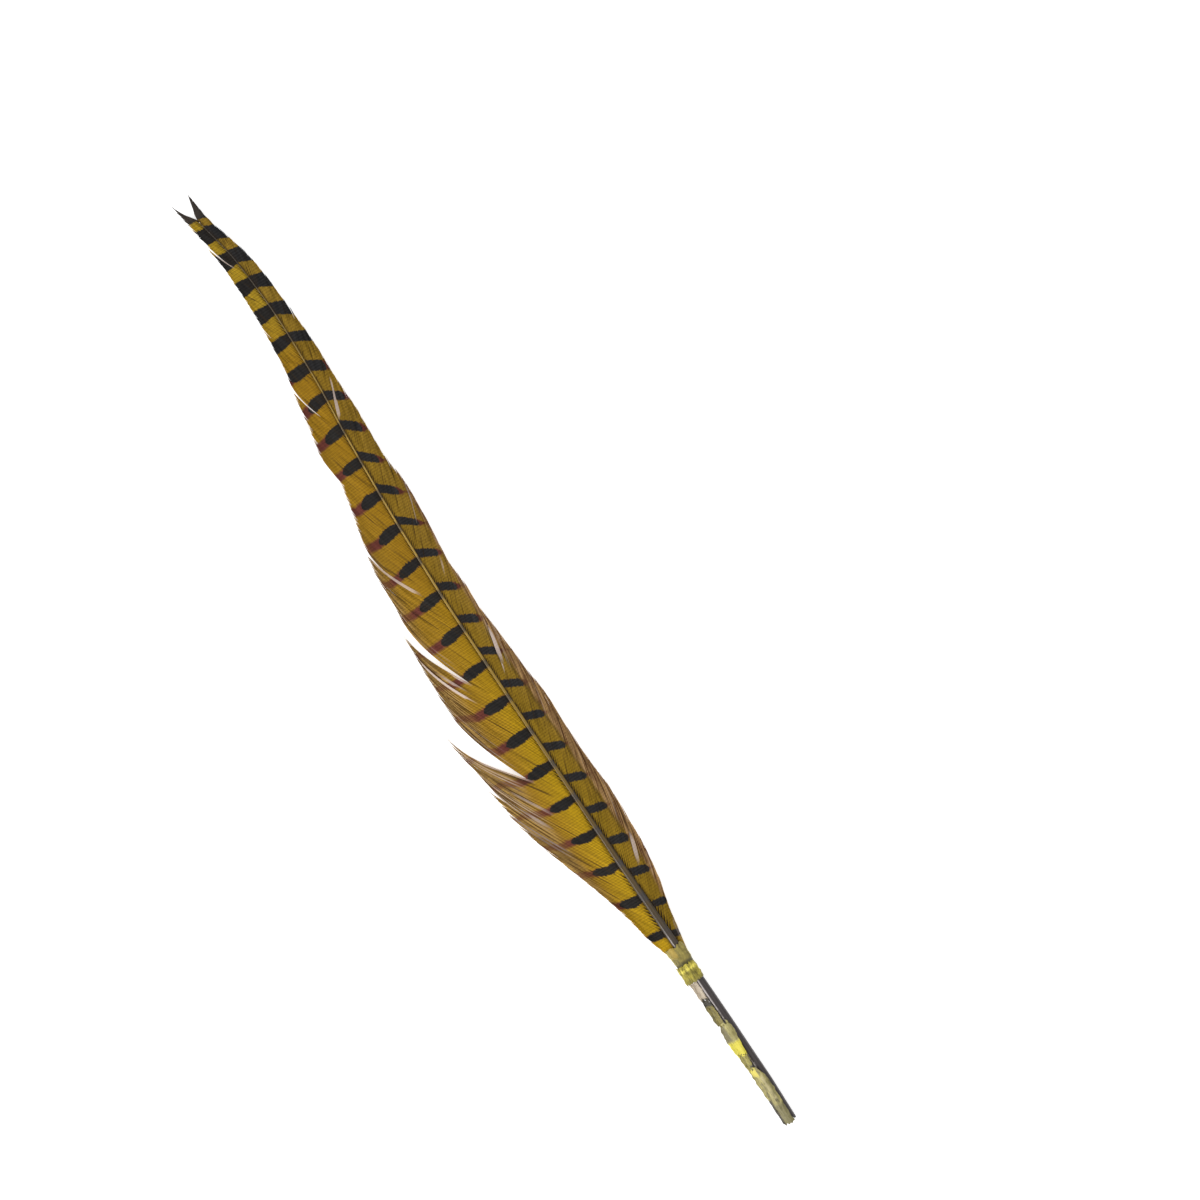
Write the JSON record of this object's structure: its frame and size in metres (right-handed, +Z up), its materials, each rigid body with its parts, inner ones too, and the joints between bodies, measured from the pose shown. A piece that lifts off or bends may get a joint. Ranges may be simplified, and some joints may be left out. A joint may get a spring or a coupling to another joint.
{
  "type": "pheasant tail feather",
  "caption": "Long golden dyed pheasant tail feather with black bars, loose locks of barbs on one side and a bare dark quill with scraps of yellow sheath.",
  "frame": {"origin": "on the surface that the feather lies on, under the middle of its outline", "axes": "+X along the feather from the quill's cut end to the tip, +Y to the left vane, +Z up from the surface"},
  "size_m": [0.3993, 0.0393, 0.0075],
  "materials": {
    "dark_horn": "glossy dark dyed horn",
    "left_barbs": "golden barbs with black bars",
    "right_barbs": "olive gold barbs with black bars",
    "dried_skin": "matt dried skin, olive",
    "yellow_sheath": "papery sheath dyed yellow",
    "pale_sheath": "papery sheath, pale"
  },
  "bodies": {
    "root": {"shaft": "dark_horn", "skin_collar": "dried_skin", "yellow_band": "yellow_sheath", "pale_strip": "pale_sheath", "sheath_flake_1": "yellow_sheath", "sheath_flake_2": "yellow_sheath", "sheath_flake_3": "yellow_sheath", "sheath_flake_4": "yellow_sheath", "left_vane_upper": "left_barbs", "left_vane_middle": "left_barbs", "left_vane_loose_lock": "left_barbs", "left_vane_base": "left_barbs", "right_vane_upper": "right_barbs", "right_vane_middle": "right_barbs", "right_vane_lower": "right_barbs", "right_vane_base": "right_barbs"}
  },
  "joints": []
}
